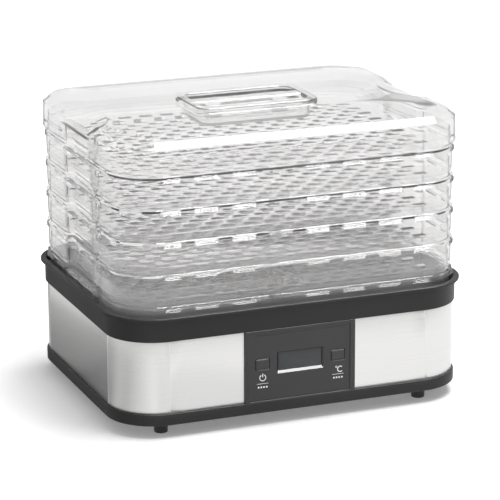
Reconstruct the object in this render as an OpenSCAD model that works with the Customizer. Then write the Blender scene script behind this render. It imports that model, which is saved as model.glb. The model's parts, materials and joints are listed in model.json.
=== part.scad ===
// Food dehydrator: heated fan base, five stacking trays and a lid.
// Millimetres, +Z up, front towards -Y, origin at the centre of the floor under the feet.

/* [Footprint] */
// Width of the base across the flange
base_w = 340; // [320:1:360]
// Depth of the base across the flange
base_d = 262; // [250:1:280]
// Corner radius of the base in plan
base_r = 45.5; // [40:0.5:50]

/* [Base heights] */
// Height of the rubber feet
foot_h = 12; // [10:0.5:15]
// Height of the black bottom flange
flange_h = 10.8; // [9:0.2:14]
// Height of the steel band
steel_h = 67.2; // [66:0.2:72]
// Height of the black rim above the steel
rim_h = 22.6; // [22:0.2:26]
// How far the lip stands out from the rim
lip_out = 4; // [2:0.5:4.5]
// Depth of the recess that the lowest tray stands in
recess_h = 16; // [14:0.5:17]

/* [Trays] */
// Number of trays in the stack
tray_count = 5; // [5:5]
// Height that each tray adds to the stack
tray_pitch = 29.4; // [28:0.2:32]
// Height of the thick band round each tray
band_h = 6; // [5:0.5:7]
// Height of the wall that keeps the food in
upstand_h = 15.2; // [12:0.2:17]
// Thickness of the clear walls
clear_t = 1.5; // [1.2:0.1:2]
// Pitch of the floor slots across the tray
slot_pitch_x = 21; // [18:0.5:26]
// Pitch of the floor slots from front to back
slot_pitch_y = 25.2; // [20:0.2:30]

/* [Finger recesses] */
// Half length of the recess in each side
grip_half = 38.5; // [30:0.5:45]
// Depth of the recess in each side
grip_depth = 7; // [5:0.5:9]

/* [Lid] */
// Height of the lid skirt
lid_skirt_h = 23.1; // [20:0.1:26]
// Height of the bevel above the skirt
bevel_h = 5; // [4:0.5:6]
// Width of the bevel in plan
bevel_w = 6; // [4:0.5:8]
// Length of the raised handle rim
handle_l = 120; // [100:1:130]
// Width of the raised handle rim
handle_w = 76; // [66:1:84]
// How far the handle rim stands above the lid
handle_up = 5; // [4:0.5:6]

/* [Control panel] */
// Half width of the control panel
panel_half = 53.6; // [50:0.2:60]
// Width of a button
button_w = 12.9; // [10:0.1:14]
// Height of a button
button_h = 9.9; // [8:0.1:11]
// Travel of a button
button_travel = 1; // [0.5:0.1:1.2]

/* [Fan] */
// Radius of the fan blades
fan_r = 50; // [40:1:52]
// Number of fan blades
blade_count = 7; // [5:1:9]

/* [Hidden] */
$fn = 48;
eps = 0.01;
gap = 0.3;          // space between pieces that lift apart
fit = 0.05;         // radial clearance of a running fit
big = 400;

// levels
flange_top = foot_h + flange_h;
steel_top = flange_top + steel_h;
rim_top = steel_top + rim_h;
deck_top = rim_top - recess_h;
deck_t = 2.4;
deck_low = deck_top - deck_t;
floor_t = 2.5;
cover_top = foot_h + floor_t;

// distances in from the outline of the base
steel_in = 2;
steel_t = 0.8;
rim_t = 1.6;
band_in = 3.1;
skirt_in = 3.9;
skirt_inner = skirt_in + clear_t;
upstand_low_in = skirt_inner + gap;
upstand_high_in = upstand_low_in + 0.9;
upstand_inner = upstand_high_in + 1.3;
rib_inner = upstand_high_in - gap - fit;
lid_in = 1.4;
lid_t = 2;

// heights within a tray, from the top of its band
step_z = 7;
mesh_top = -1;
mesh_t = 2.5;
skirt_low = 5 - tray_pitch;
rib_low = step_z + gap - tray_pitch;
rib_t = 2;
slot_len = 15;
slot_wide = 18;
mesh_margin = 24;
mesh_seat = 9.5;     // inset of the line where the slotted floor meets the ledge

// the lowest tray's skirt stands on the deck
band_5 = deck_top + gap - skirt_low;
function band_z(n) = band_5 + (tray_count - n) * tray_pitch;

// lid levels
lid_low = band_z(1) + 2.5;
lid_shoulder = lid_low + lid_skirt_h;
lid_top = lid_shoulder + bevel_h;
handle_top = lid_top + handle_up;
lid_grip_top = lid_low + 15;
scoop_r = 62;
scoop_slope = 8;
scoop_x = base_w / 2 + 32;
well_low = 256;
well_l = handle_l - 16;
well_w = handle_w - 16;
handle_bar_w = 14;
handle_bar_t = 5;
handle_post_r = 8;
handle_post_x = 33;

// control panel
face_y = -base_d / 2;
panel_low = flange_top - 1.2;
panel_high = steel_top;
panel_t = 2.8;
plate_in = 0.7;
plate_half = 49;
plate_low = 23;
plate_high = 88;
display_z = 57.5;
window_z = 58.5;
display_w = 42;
display_h = 17;
bezel = 1.7;
button_x = 36.8;
button_z = 58;
button_proud = 0.5;
board_y = face_y + 11;
board_t = 1.6;
screw_x = 47;
screw_dz = 27;

// fan, motor and heater
motor_r = 30;
motor_low = 25;
motor_h = 26;
shaft_r = 2.5;
shaft_low = 34;
shaft_top = 70;
blade_low = 54;
blade_high = 68;
duct_in = 56;
duct_out = 58;
duct_low = 44;
heater_low = 76;
heater_h = 10;
coil_r = 2;
coil_rings = [22, 34, 46];
heater_turn = 22.5;

// screws that join the bottom cover to the upper housing
boss_x = 108;
boss_y = 96;
boss_r = 4.5;
screw_r = 1.6;
foot_x = 127;
foot_y = 110;

// cable gland in the back wall
gland_x = 105;
gland_z = 42;
gland_r = 7;
gland_bore = 3.6;

// rounded rectangle set in from the base outline
module plan(inset) {
    r = base_r - inset;
    cx = base_w / 2 - base_r;
    cy = base_d / 2 - base_r;
    union() {
        square([2 * cx, base_d - 2 * inset], center = true);
        square([base_w - 2 * inset, 2 * cy], center = true);
        for (sx = [-1, 1], sy = [-1, 1]) translate([sx * cx, sy * cy]) circle(r);
    }
}

// rounded rectangle of any size
module round_rect(w, d, r) {
    union() {
        square([w - 2 * r, d], center = true);
        square([w, d - 2 * r], center = true);
        for (sx = [-1, 1], sy = [-1, 1]) translate([sx * (w / 2 - r), sy * (d / 2 - r)]) circle(r);
    }
}

// the two finger recesses of a wall set in from the outline
module grips(inset) {
    half = grip_half + inset - skirt_in;
    reach = 20;
    for (s = [-1, 1]) translate([s * (base_w / 2 - inset - grip_depth + reach), 0])
        round_rect(2 * reach, 2 * half, 6);
}

module plan_grips(inset) {
    difference() {
        plan(inset);
        grips(inset);
    }
}

// upright wall between two insets
module wall(z0, z1, outer, inner) {
    translate([0, 0, z0]) linear_extrude(z1 - z0) difference() {
        plan(outer);
        plan(inner);
    }
}

module wall_grips(z0, z1, outer, inner) {
    translate([0, 0, z0]) linear_extrude(z1 - z0) difference() {
        plan_grips(outer);
        plan_grips(inner);
    }
}

module slab(z0, z1, inset) {
    translate([0, 0, z0]) linear_extrude(z1 - z0) plan(inset);
}

module tube(z0, z1, outer, inner) {
    translate([0, 0, z0]) difference() {
        cylinder(h = z1 - z0, r = outer);
        translate([0, 0, -1]) cylinder(h = z1 - z0 + 2, r = inner);
    }
}

// ---------- base ----------

module bottom_cover() {
    rib_pitch = 10;
    color("#26272a") difference() {
        union() {
            difference() {
                slab(foot_h, flange_top, 0);
                slab(cover_top, flange_top + 1, 4);
            }
            for (sx = [-1, 1], sy = [-1, 1]) translate([sx * boss_x, sy * boss_y, cover_top - eps])
                cylinder(h = 4, r = boss_r + 2.5);
            for (s = [-1, 1]) translate([s * 62, 0, cover_top - eps]) cylinder(h = 7.5 + eps, r = 6);
        }
        for (k = [-5:5]) translate([-45, k * rib_pitch - 2, foot_h - 1]) cube([90, 4, floor_t + 2]);
        for (sx = [-1, 1], sy = [-1, 1]) translate([sx * boss_x, sy * boss_y, 0]) {
            translate([0, 0, foot_h - 1]) cylinder(h = 3.4, r = 4);
            cylinder(h = 40, r = screw_r + fit);
            translate([0, 0, cover_top + 1.5]) cylinder(h = 10, r = boss_r + fit);
        }
        for (s = [-1, 1]) translate([s * 62, 0, cover_top]) cylinder(h = 20, r = screw_r + fit);
        translate([-panel_half - gap, face_y - 1, panel_low - gap])
            cube([2 * (panel_half + gap), panel_t + 1 + gap, 10]);
    }
}

module rubber_feet() {
    color("#151515") for (sx = [-1, 1], sy = [-1, 1]) translate([sx * foot_x, sy * foot_y, 0]) {
        cylinder(h = foot_h - 4 + eps, r = 6.2);
        translate([0, 0, foot_h - 4]) cylinder(h = 4, r = 7.6);
    }
}

module steel_wrap() {
    color("#c9cbcd") difference() {
        wall(flange_top, steel_top, steel_in, steel_in + steel_t);
        translate([-panel_half - gap, face_y - 5, 0]) cube([2 * (panel_half + gap), 20, steel_top + 5]);
        translate([gland_x, base_d / 2 - 10, gland_z]) rotate([-90, 0, 0]) cylinder(h = 20, r = gland_r + fit);
    }
}

module upper_housing() {
    color("#1f2023") union() {
        wall(steel_top, rim_top, 0, rim_t);
        wall(steel_top, deck_low + eps, rim_t - eps, steel_in + steel_t + 0.4);
        wall(rim_top - 3, rim_top, -lip_out, eps);
        difference() {
            slab(deck_low, deck_top, rim_t / 2);
            translate([0, 0, deck_low - 1]) cylinder(h = deck_t + 2, r = duct_in);
        }
        difference() {
            for (sx = [-1, 1], sy = [-1, 1]) translate([sx * boss_x, sy * boss_y, cover_top + 1.5])
                cylinder(h = deck_low - cover_top - 1.5 + eps, r = boss_r);
            for (sx = [-1, 1], sy = [-1, 1]) translate([sx * boss_x, sy * boss_y, cover_top])
                cylinder(h = 20, r = screw_r + fit);
        }
    }
}

module outlet_grille() {
    rings = [10, 21, 32, 43];
    bar_w = 3;
    color("#1b1c1e") union() {
        tube(deck_low, deck_top, duct_in, duct_in - 4);
        for (r = rings) tube(deck_low, deck_top, r + 1, r - 1);
        for (k = [0:3]) rotate([0, 0, 45 * k])
            translate([-duct_in + 2, -bar_w / 2, deck_low]) cube([2 * duct_in - 4, bar_w, deck_t]);
    }
}

// ---------- controls ----------

module control_panel() {
    pw = display_w + 2 * bezel;
    ph = display_h + 2 * bezel;
    color("#232427") difference() {
        union() {
            translate([-panel_half, face_y, panel_low]) cube([2 * panel_half, panel_t, panel_high - panel_low]);
            for (sx = [-1, 1], sz = [-1, 1]) translate([sx * screw_x, face_y + panel_t - eps, display_z - 2 + sz * screw_dz])
                rotate([-90, 0, 0]) cylinder(h = board_y - face_y - panel_t + eps, r = 3);
        }
        translate([-plate_half, face_y - 1, plate_low]) cube([2 * plate_half, 1 + plate_in, plate_high - plate_low]);
        translate([-pw / 2, face_y - 1, display_z - ph / 2]) cube([pw, 1 + panel_t / 2, ph]);
        translate([-display_w / 2 + 2, face_y - 1, display_z - display_h / 2 + 2])
            cube([display_w - 4, panel_t + 5, display_h - 4]);
        for (s = [-1, 1]) translate([s * button_x - button_w / 2 - 0.15, face_y - 1, button_z - button_h / 2 - 0.15])
            cube([button_w + gap, panel_t + 5, button_h + gap]);
        for (sx = [-1, 1], sz = [-1, 1]) translate([sx * screw_x, board_y - 6, display_z - 2 + sz * screw_dz])
            rotate([-90, 0, 0]) cylinder(h = 10, r = 1.2 + fit);
    }
}

module display_window() {
    color("#3a3c40") translate([-display_w / 2, face_y + 0.4, window_z - display_h / 2])
        cube([display_w, panel_t / 2 - 0.4, display_h]);
}

module lcd_module() {
    color("#20302a") translate([-display_w / 2 - 1, face_y + panel_t + 0.4, display_z - display_h / 2 - 1])
        cube([display_w + 2, board_y - face_y - panel_t - 0.4, display_h + 2]);
}

// a key cap with a flange behind the panel and a stem towards its switch
module key(x) {
    flange_y = face_y + panel_t + gap;
    translate([x - button_w / 2, face_y + plate_in - button_proud, button_z - button_h / 2])
        cube([button_w, flange_y - face_y - plate_in + button_proud + eps, button_h]);
    translate([x - button_w / 2 - 1.2, flange_y, button_z - button_h / 2 - 1.2])
        cube([button_w + 2.4, 1, button_h + 2.4]);
    translate([x - 2, flange_y + 1 - eps, button_z - 2]) cube([4, 1.5, 4]);
}

module time_button() {
    color("#2c2d31") key(-button_x);
}

module temp_button() {
    color("#2c2d31") key(button_x);
}

module control_board() {
    color("#2d6a3e") difference() {
        translate([-panel_half + 2, board_y, display_z - 32]) cube([2 * panel_half - 4, board_t, 60]);
        for (sx = [-1, 1], sz = [-1, 1]) translate([sx * screw_x, board_y - 1, display_z - 2 + sz * screw_dz])
            rotate([-90, 0, 0]) cylinder(h = 10, r = 1.2 + fit);
    }
}

module tact_switches() {
    body_y = face_y + panel_t + gap + 1 + 1.5 + button_travel + gap;
    color("#444444") for (s = [-1, 1])
        translate([s * button_x - 3, body_y, button_z - 3]) cube([6, board_y - body_y, 6]);
}

module panel_screws() {
    color("#8a8c8f") for (sx = [-1, 1], sz = [-1, 1])
        translate([sx * screw_x, board_y, display_z - 2 + sz * screw_dz]) rotate([-90, 0, 0]) {
            translate([0, 0, board_t]) cylinder(h = 1.8, r = 2.6);
            translate([0, 0, -5]) cylinder(h = 5 + board_t + eps, r = 1.2);
        }
}

module power_board() {
    color("#7a5a2a") translate([-142, 8, 22]) union() {
        cube([62, 74, board_t]);
        translate([6, 8, board_t - eps]) cube([24, 26, 22]);
        translate([38, 10, board_t - eps]) cube([16, 20, 16]);
        translate([14, 52, board_t - eps]) cylinder(h = 24, r = 8);
        translate([42, 52, board_t - eps]) cylinder(h = 18, r = 7);
        for (px = [5, 57], py = [4, 70]) translate([px, py, cover_top - 22]) cylinder(h = 22 - cover_top + eps, r = 2.5);
    }
}

// ---------- fan and heater ----------

module motor_bracket() {
    color("#9a9c9e") difference() {
        union() {
            translate([-70, -9, 22]) cube([140, 18, 3]);
        }
        for (s = [-1, 1]) translate([s * 62, 0, 10]) cylinder(h = 30, r = screw_r + fit);
    }
}

module fan_motor() {
    color("#6f7276") difference() {
        union() {
            translate([0, 0, motor_low]) cylinder(h = motor_h - 4, r = motor_r);
            translate([0, 0, motor_low + motor_h - 4 - eps]) cylinder(h = 4, r = 11);
        }
        translate([0, 0, shaft_low - 1]) cylinder(h = 40, r = shaft_r + fit);
    }
}

module motor_shaft() {
    color("#d0d2d4") translate([0, 0, shaft_low]) cylinder(h = shaft_top - shaft_low, r = shaft_r);
}

module fan_impeller() {
    hub_r = 14;
    pitch_angle = 32;
    color("#e4e4e0") difference() {
        union() {
            translate([0, 0, blade_low]) cylinder(h = blade_high - blade_low, r = hub_r);
            intersection() {
                translate([0, 0, blade_low]) cylinder(h = blade_high - blade_low, r = fan_r);
                for (k = [0:blade_count - 1]) rotate([0, 0, 360 * k / blade_count])
                    translate([hub_r - 2, 0, (blade_low + blade_high) / 2]) rotate([pitch_angle, 0, 0])
                        translate([0, -14, -0.9]) cube([fan_r, 28, 1.8]);
            }
        }
        translate([0, 0, blade_low - 1]) cylinder(h = 40, r = shaft_r);
    }
}

module air_duct() {
    color("#b9bbbd") tube(duct_low, deck_low, duct_out, duct_in);
}

module heater_frame() {
    plate_r = duct_in - 0.1;
    color("#cfc9b4") union() {
        for (k = [0, 1]) rotate([0, 0, 90 * k + heater_turn]) translate([-plate_r, -0.5, heater_low])
            difference() {
                cube([2 * plate_r, 1, heater_h]);
                for (r = coil_rings, s = [-1, 1]) translate([plate_r + s * r, -1, heater_h / 2])
                    rotate([-90, 0, 0]) cylinder(h = 3, r = coil_r + 0.3);
            }
    }
}

module heater_element() {
    color("#8d6e63") translate([0, 0, heater_low + heater_h / 2]) union() {
        for (r = coil_rings) rotate_extrude() translate([r, 0]) circle(coil_r, $fn = 16);
        translate([coil_rings[0], 0, 0]) rotate([0, 90, 0]) cylinder(h = 32, r = 1);
    }
}

module thermal_cutout() {
    color("#3d3d3d") rotate([0, 0, heater_turn]) translate([duct_in - 14, 0, heater_low + heater_h + eps])
        cylinder(h = 5, r = 4);
}

module temp_sensor() {
    color("#b03a2e") union() {
        translate([-duct_in + 5, 0, heater_low - 4]) sphere(2.5);
        translate([-duct_in + 0.02, 0, heater_low - 4]) rotate([0, 90, 0]) cylinder(h = 4, r = 1.2);
    }
}

module cord_gland() {
    wall_y = base_d / 2 - steel_in;
    color("#18191b") translate([gland_x, wall_y, gland_z]) rotate([-90, 0, 0]) difference() {
        union() {
            translate([0, 0, -6]) cylinder(h = 8, r = gland_r);
            cylinder(h = 3, r = gland_r + 2.5);
            translate([0, 0, -4]) cylinder(h = 4 - steel_t, r = gland_r + 2);
        }
        translate([0, 0, -7]) cylinder(h = 20, r = gland_bore);
    }
}

module base_screws() {
    color("#8a8c8f") union() {
        for (sx = [-1, 1], sy = [-1, 1]) translate([sx * boss_x, sy * boss_y, 0]) {
            translate([0, 0, foot_h + 0.2]) cylinder(h = 2.2, r = 3.6);
            translate([0, 0, foot_h + 2]) cylinder(h = 16, r = screw_r);
        }
        for (s = [-1, 1]) translate([s * 62, 0, 25]) {
            cylinder(h = 2.2, r = 3.6);
            translate([0, 0, -8]) cylinder(h = 9, r = screw_r);
        }
    }
}

// ---------- trays ----------

// rows of slots, alternate rows shifted by half a pitch
module slots() {
    nx = floor((base_w / 2 - mesh_margin) / slot_pitch_x);
    ny = floor((base_d / 2 - mesh_margin) / slot_pitch_y);
    for (j = [-ny:ny]) let (odd = abs(j) % 2, cols = nx - odd)
        for (i = [-cols:cols - odd]) if (abs(j) < ny || abs(i) < cols)
            translate([(i + odd / 2) * slot_pitch_x, j * slot_pitch_y]) square([slot_len, slot_wide], center = true);
}

module tray(n) {
    z = band_z(n);
    translate([0, 0, z]) union() {
        wall(-band_h, 0, band_in, skirt_inner);
        wall_grips(skirt_low, mesh_top, skirt_in, skirt_inner);
        wall_grips(rib_low, rib_low + rib_t, skirt_inner - eps, rib_inner);
        translate([0, 0, mesh_top - mesh_t]) linear_extrude(mesh_t) difference() {
            plan(skirt_inner - eps);
            plan_grips(mesh_seat);
        }
        wall_grips(mesh_top - eps, step_z, upstand_low_in, upstand_inner);
        wall_grips(step_z - eps, upstand_h, upstand_high_in, upstand_inner);
    }
}

// slotted floor plate, welded along its edge into the ledge inside the band
module tray_mesh(n) {
    translate([0, 0, band_z(n) + mesh_top - mesh_t]) linear_extrude(mesh_t) difference() {
        plan_grips(mesh_seat);
        slots();
    }
}

module tray_1() {
    color("#e8eef0", 0.5) tray(1);
}

module tray_2() {
    color("#dfe8eb", 0.5) tray(2);
}

module tray_3() {
    color("#e8eef0", 0.5) tray(3);
}

module tray_4() {
    color("#dfe8eb", 0.5) tray(4);
}

module tray_5() {
    color("#e8eef0", 0.5) tray(5);
}

module tray_1_mesh() {
    color("#e8eef0", 0.5) tray_mesh(1);
}

module tray_2_mesh() {
    color("#dfe8eb", 0.5) tray_mesh(2);
}

module tray_3_mesh() {
    color("#e8eef0", 0.5) tray_mesh(3);
}

module tray_4_mesh() {
    color("#dfe8eb", 0.5) tray_mesh(4);
}

module tray_5_mesh() {
    color("#e8eef0", 0.5) tray_mesh(5);
}

// ---------- lid ----------

// bevelled block that narrows towards its top
module bevelled(z0, z1, z2, inset, narrow) {
    union() {
        slab(z0, z1 + eps, inset);
        hull() {
            slab(z1, z1 + eps, inset, $fn = 32);
            slab(z2 - eps, z2, inset + narrow, $fn = 32);
        }
    }
}

// finger scoops at both ends of the lid, grown by a skin
module scoops(skin) {
    for (s = [-1, 1]) translate([s * scoop_x, 0, lid_shoulder - skin])
        cylinder(h = bevel_h + skin + 1, r1 = scoop_r - scoop_slope + skin, r2 = scoop_r + skin + 1);
}

module grip_blocks(z0, z1, inset) {
    translate([0, 0, z0]) linear_extrude(z1 - z0) grips(inset);
}

module lid() {
    color("#eef3f5", 0.5) union() {
        difference() {
            bevelled(lid_low, lid_shoulder, lid_top, lid_in, bevel_w);
            difference() {
                bevelled(lid_low - 1, lid_shoulder - lid_t, lid_top - lid_t, lid_in + lid_t, bevel_w);
                scoops(lid_t);
                grip_blocks(lid_low - 2, lid_grip_top + lid_t, skirt_inner);
            }
            scoops(0);
            grip_blocks(lid_low - 2, lid_grip_top, skirt_in);
            translate([0, 0, lid_top - lid_t - 1]) linear_extrude(lid_t + 2)
                round_rect(handle_l - 4, handle_w - 4, 12);
        }
        wall_grips(band_z(1) + step_z + gap, band_z(1) + step_z + gap + rib_t, lid_in + lid_t - eps, rib_inner);
        handle();
    }
}

// raised rim round a well, with a grip bar across it on two posts
module handle() {
    rim_t_h = 2;
    vent_w = 27;
    union() {
        difference() {
            translate([0, 0, lid_top - lid_t]) linear_extrude(handle_top - lid_top + lid_t)
                round_rect(handle_l, handle_w, 14);
            translate([0, 0, lid_top - lid_t - 1]) linear_extrude(handle_up + lid_t + 1 - rim_t_h)
                round_rect(handle_l - 4, handle_w - 4, 12);
            translate([0, 0, lid_top - lid_t - 1]) linear_extrude(20) round_rect(well_l, well_w, 10);
        }
        difference() {
            translate([0, 0, well_low]) linear_extrude(handle_top - well_low) round_rect(well_l + 4, well_w + 4, 12);
            translate([0, 0, well_low + 2]) linear_extrude(handle_top) round_rect(well_l, well_w, 10);
            for (k = [0:2]) translate([-vent_w / 2, -well_w, well_low + 4 + 3.4 * k]) cube([vent_w, 2 * well_w, 1.6]);
        }
        translate([-well_l / 2 - eps, -handle_bar_w / 2, handle_top - handle_bar_t])
            cube([well_l + 2 * eps, handle_bar_w, handle_bar_t]);
        for (s = [-1, 1]) translate([s * handle_post_x, 0, well_low + 2 - eps])
            cylinder(h = handle_top - handle_bar_t - well_low - 2 + 2 * eps, r = handle_post_r);
    }
}

bottom_cover();
rubber_feet();
steel_wrap();
upper_housing();
outlet_grille();
control_panel();
display_window();
lcd_module();
time_button();
temp_button();
control_board();
tact_switches();
panel_screws();
power_board();
motor_bracket();
fan_motor();
motor_shaft();
fan_impeller();
air_duct();
heater_frame();
heater_element();
thermal_cutout();
temp_sensor();
cord_gland();
base_screws();
tray_1();
tray_2();
tray_3();
tray_4();
tray_5();
tray_1_mesh();
tray_2_mesh();
tray_3_mesh();
tray_4_mesh();
tray_5_mesh();
lid();
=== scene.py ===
import json
import math

import bmesh
import bpy
from mathutils import Matrix, Vector
from mathutils.geometry import delaunay_2d_cdt


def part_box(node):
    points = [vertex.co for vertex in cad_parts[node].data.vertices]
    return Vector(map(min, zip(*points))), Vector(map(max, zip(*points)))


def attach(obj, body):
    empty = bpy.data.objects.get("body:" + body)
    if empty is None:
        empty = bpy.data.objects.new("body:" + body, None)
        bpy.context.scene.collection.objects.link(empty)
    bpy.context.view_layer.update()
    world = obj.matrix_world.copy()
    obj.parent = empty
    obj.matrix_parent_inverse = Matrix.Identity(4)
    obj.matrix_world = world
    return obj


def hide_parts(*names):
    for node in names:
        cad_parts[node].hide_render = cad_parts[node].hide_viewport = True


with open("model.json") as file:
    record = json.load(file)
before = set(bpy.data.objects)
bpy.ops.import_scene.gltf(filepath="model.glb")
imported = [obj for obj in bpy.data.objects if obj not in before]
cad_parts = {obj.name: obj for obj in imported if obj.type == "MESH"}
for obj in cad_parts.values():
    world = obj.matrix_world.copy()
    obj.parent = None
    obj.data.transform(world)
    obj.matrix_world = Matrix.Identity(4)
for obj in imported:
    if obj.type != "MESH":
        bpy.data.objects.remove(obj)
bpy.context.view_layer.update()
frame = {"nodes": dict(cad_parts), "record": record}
scene = bpy.context.scene
MM = 0.001
NODES = frame["nodes"]
SHARP = 28.0  # degrees; an edge that bends by more stays sharp
QUARTERS = [(sx, sy) for sx in (-1, 1) for sy in (-1, 1)]


# ---------------------------------------------------------------- camera
AZIMUTH, ELEVATION, ROLL = -21.48, 15.87, -0.27  # degrees
AIM, DISTANCE = Vector((0, 0, 0.1264)), 2.4169


def make_camera():
    az, el, roll = (math.radians(v) for v in (AZIMUTH, ELEVATION, ROLL))
    back = Vector((math.sin(az) * math.cos(el), -math.cos(az) * math.cos(el), math.sin(el)))
    right = Vector((math.cos(az), math.sin(az), 0))
    up = back.cross(right)
    turn = Matrix((right, up, back)).transposed().to_4x4() @ Matrix.Rotation(roll, 4, "Z")
    data = bpy.data.cameras.new("camera")
    data.lens, data.sensor_width = 185.27, 36
    data.shift_x = 0.00616
    data.clip_end = 50
    cam = bpy.data.objects.new("camera", data)
    cam.matrix_world = Matrix.Translation(AIM + back * DISTANCE) @ turn
    scene.collection.objects.link(cam)
    scene.camera = cam


make_camera()


# ---------------------------------------------------------------- mesh building
def smooth(mesh, sharp=SHARP):
    mesh.polygons.foreach_set("use_smooth", [True] * len(mesh.polygons))
    mesh.set_sharp_from_angle(angle=math.radians(sharp))


class Build:
    """Vertices and faces of one piece, in millimetres."""

    def __init__(self):
        self.verts, self.faces = [], []

    def loop(self, points):
        start = len(self.verts)
        self.verts.extend(points)
        return list(range(start, len(self.verts)))

    def bridge(self, a, b, closed=True, skip=()):
        n = len(a)
        for i in range(n if closed else n - 1):
            if i in skip:
                continue
            j = (i + 1) % n
            self.faces.append((a[i], a[j], b[j], b[i]))

    def cap(self, a, flip=False):
        self.faces.append(tuple(reversed(a)) if flip else tuple(a))

    def loft(self, loops, closed=True):
        """Faces from each loop to the next."""
        for a, c in zip(loops, loops[1:]):
            self.bridge(a, c, closed)

    def solid(self, loops):
        """A closed body from its first loop to its last."""
        self.loft(loops)
        self.cap(loops[0], flip=True)
        self.cap(loops[-1])

    def sheet(self, outer, holes, flip=False, axes=(0, 1)):
        """Triangles between one loop and the convex loops inside it, all in one plane."""
        ids, owner, edges = [], [], []
        for k, lp in enumerate([outer] + list(holes)):
            base = len(ids)
            ids += lp
            owner += [k] * len(lp)
            edges += [(base + i, base + (i + 1) % len(lp)) for i in range(len(lp))]
        pts = [Vector((self.verts[i][axes[0]], self.verts[i][axes[1]])) for i in ids]
        out = delaunay_2d_cdt(pts, edges, [], 0, 1e-6)
        back = [o[0] for o in out[3]]
        edge_pts = pts[: len(outer)]
        for tri in out[2]:
            t = [back[i] for i in tri]
            who = {owner[i] for i in t}
            if len(who) == 1:
                if who != {0}:
                    continue
                cx = sum(pts[i].x for i in t) / 3
                cy = sum(pts[i].y for i in t) / 3
                if not inside(cx, cy, edge_pts):
                    continue
            a, b, c = (pts[i] for i in t)
            if (b - a).cross(c - a) < 0:
                t.reverse()
            t = [ids[i] for i in t]
            self.faces.append(tuple(reversed(t)) if flip else tuple(t))

    def object(self, name, sharp=SHARP):
        mesh = bpy.data.meshes.new(name)
        mesh.from_pydata([(x * MM, y * MM, z * MM) for x, y, z in self.verts], [], self.faces)
        mesh.validate()
        smooth(mesh, sharp)
        mesh.update()
        obj = bpy.data.objects.new(name, mesh)
        scene.collection.objects.link(obj)
        return obj


def inside(x, y, poly):
    hit = False
    for i in range(len(poly)):
        a, b = poly[i], poly[i - 1]
        if (a.y > y) != (b.y > y) and x < (b.x - a.x) * (y - a.y) / (b.y - a.y) + a.x:
            hit = not hit
    return hit


def ring_points(cx, cy, r, n, z):
    angles = [2 * math.pi * i / n for i in range(n)]
    return [(cx + r * math.cos(a), cy + r * math.sin(a), z) for a in angles]


def rect_points(l, w, r, z, corner=6, marks=()):
    """Rounded rectangle, counterclockwise from the middle of its right side, with the same count at any size."""
    pts = []
    hx, hy = l / 2 - r, w / 2 - r
    for k, (sx, sy) in enumerate(((1, 1), (-1, 1), (-1, -1), (1, -1))):
        for i in range(corner + 1):
            a = math.radians(90 * k + 90 * i / corner)
            pts.append((sx * hx + r * math.cos(a), sy * hy + r * math.sin(a), z))
        if k == 0:
            pts += [(x, w / 2, z) for x in marks]
        if k == 2:
            pts += [(-x, -w / 2, z) for x in marks]
    return pts


def fix_normals(obj):
    bm = bmesh.new()
    bm.from_mesh(obj.data)
    bmesh.ops.recalc_face_normals(bm, faces=bm.faces)
    bm.to_mesh(obj.data)
    bm.free()


# ---------------------------------------------------------------- outline of the stack
HALF_X, HALF_Y, CORNER = 170.0, 131.0, 45.5
CORE_X, CORE_Y = HALF_X - CORNER, HALF_Y - CORNER
CORNER_STEPS = 14
BAND_INSET = 3.1  # from the outline in to the face that the pads stand on
PAD_PITCH, PAD_HALF, PAD_EDGE, PAD_LAST = 35.3, 10.9, 0.6, 3.05
RIB, RIB_EDGE = (-29.0, -23.0), 0.5
RECESS_HALF, RECESS_R, RECESS_STEPS = 38.5, 6.0, 5
SCOOP_STEP, SCOOP_END = 3.0, 47.4
FRONT, BACK = (0.0, -1.0), (0.0, 1.0)  # normals


class Station:
    """One place round the outline: a plain point and normal, and those of the line that follows the finger recess."""

    def __init__(self, core, normal, pad=0.0, rib=0.0, grip=None, side=0.0):
        self.core, self.n, self.pad, self.rib, self.side = core, normal, pad, rib, side
        self.grip = grip

    def plain(self, inset):
        r = CORNER - inset
        return self.core[0] + self.n[0] * r, self.core[1] + self.n[1] * r

    def follow(self, inset):
        if self.grip is None:
            return self.plain(inset)
        (gx, gy), (mx, my), ref = self.grip
        return gx - mx * (inset - ref), gy - my * (inset - ref)


def raised(low, high, edge):
    """Places where a raised strip starts, rises, falls and ends, with its height there."""
    return [(low - edge, 0.0), (low, 1.0), (high, 1.0), (high + edge, 0.0)]


def pad_marks(centres):
    return [m for c in centres for m in raised(c - PAD_HALF, c + PAD_HALF, PAD_EDGE)]


def recess_curve(depth):
    """(y, depth, angle) down one flank of the finger recess, from the outside in."""
    top = math.acos(1 - depth / (2 * RECESS_R))
    span = RECESS_R * math.sin(top)
    angles = [top * i / RECESS_STEPS for i in range(RECESS_STEPS + 1)]
    out = []
    for a in angles:
        out.append((RECESS_HALF + span - RECESS_R * math.sin(a), RECESS_R * (1 - math.cos(a)), a))
    for a in reversed(angles[:-1]):
        out.append((RECESS_HALF - span + RECESS_R * math.sin(a), depth - RECESS_R * (1 - math.cos(a)), a))
    return out


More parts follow.
